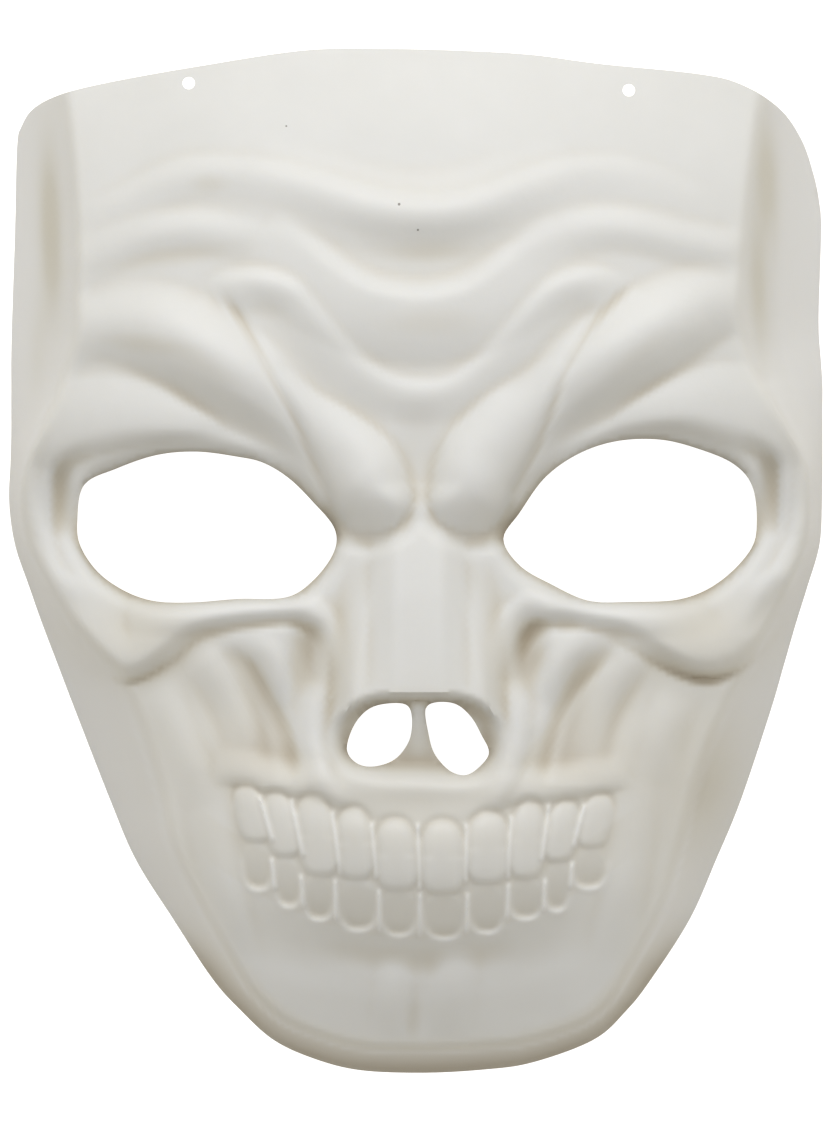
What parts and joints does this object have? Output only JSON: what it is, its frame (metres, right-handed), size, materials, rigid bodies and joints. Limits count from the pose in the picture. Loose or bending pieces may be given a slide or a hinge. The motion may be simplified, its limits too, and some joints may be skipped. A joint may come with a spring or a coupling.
{
  "type": "skull mask",
  "caption": "Thin formed plastic face mask in the shape of a scowling skull, with cut eye and nose openings, bared teeth and small strap holes near the top edge.",
  "frame": {"origin": "middle of the mask's outline on the plane of its trimmed edge, on which it lies face up", "axes": "+X to the viewer's right, +Y from the chin to the forehead, +Z out of the face"},
  "size_m": [0.1914, 0.2405, 0.0647],
  "materials": {
    "plastic": "satin off-white, slightly translucent"
  },
  "bodies": {
    "root": {"mask_shell": "plastic"}
  },
  "joints": []
}
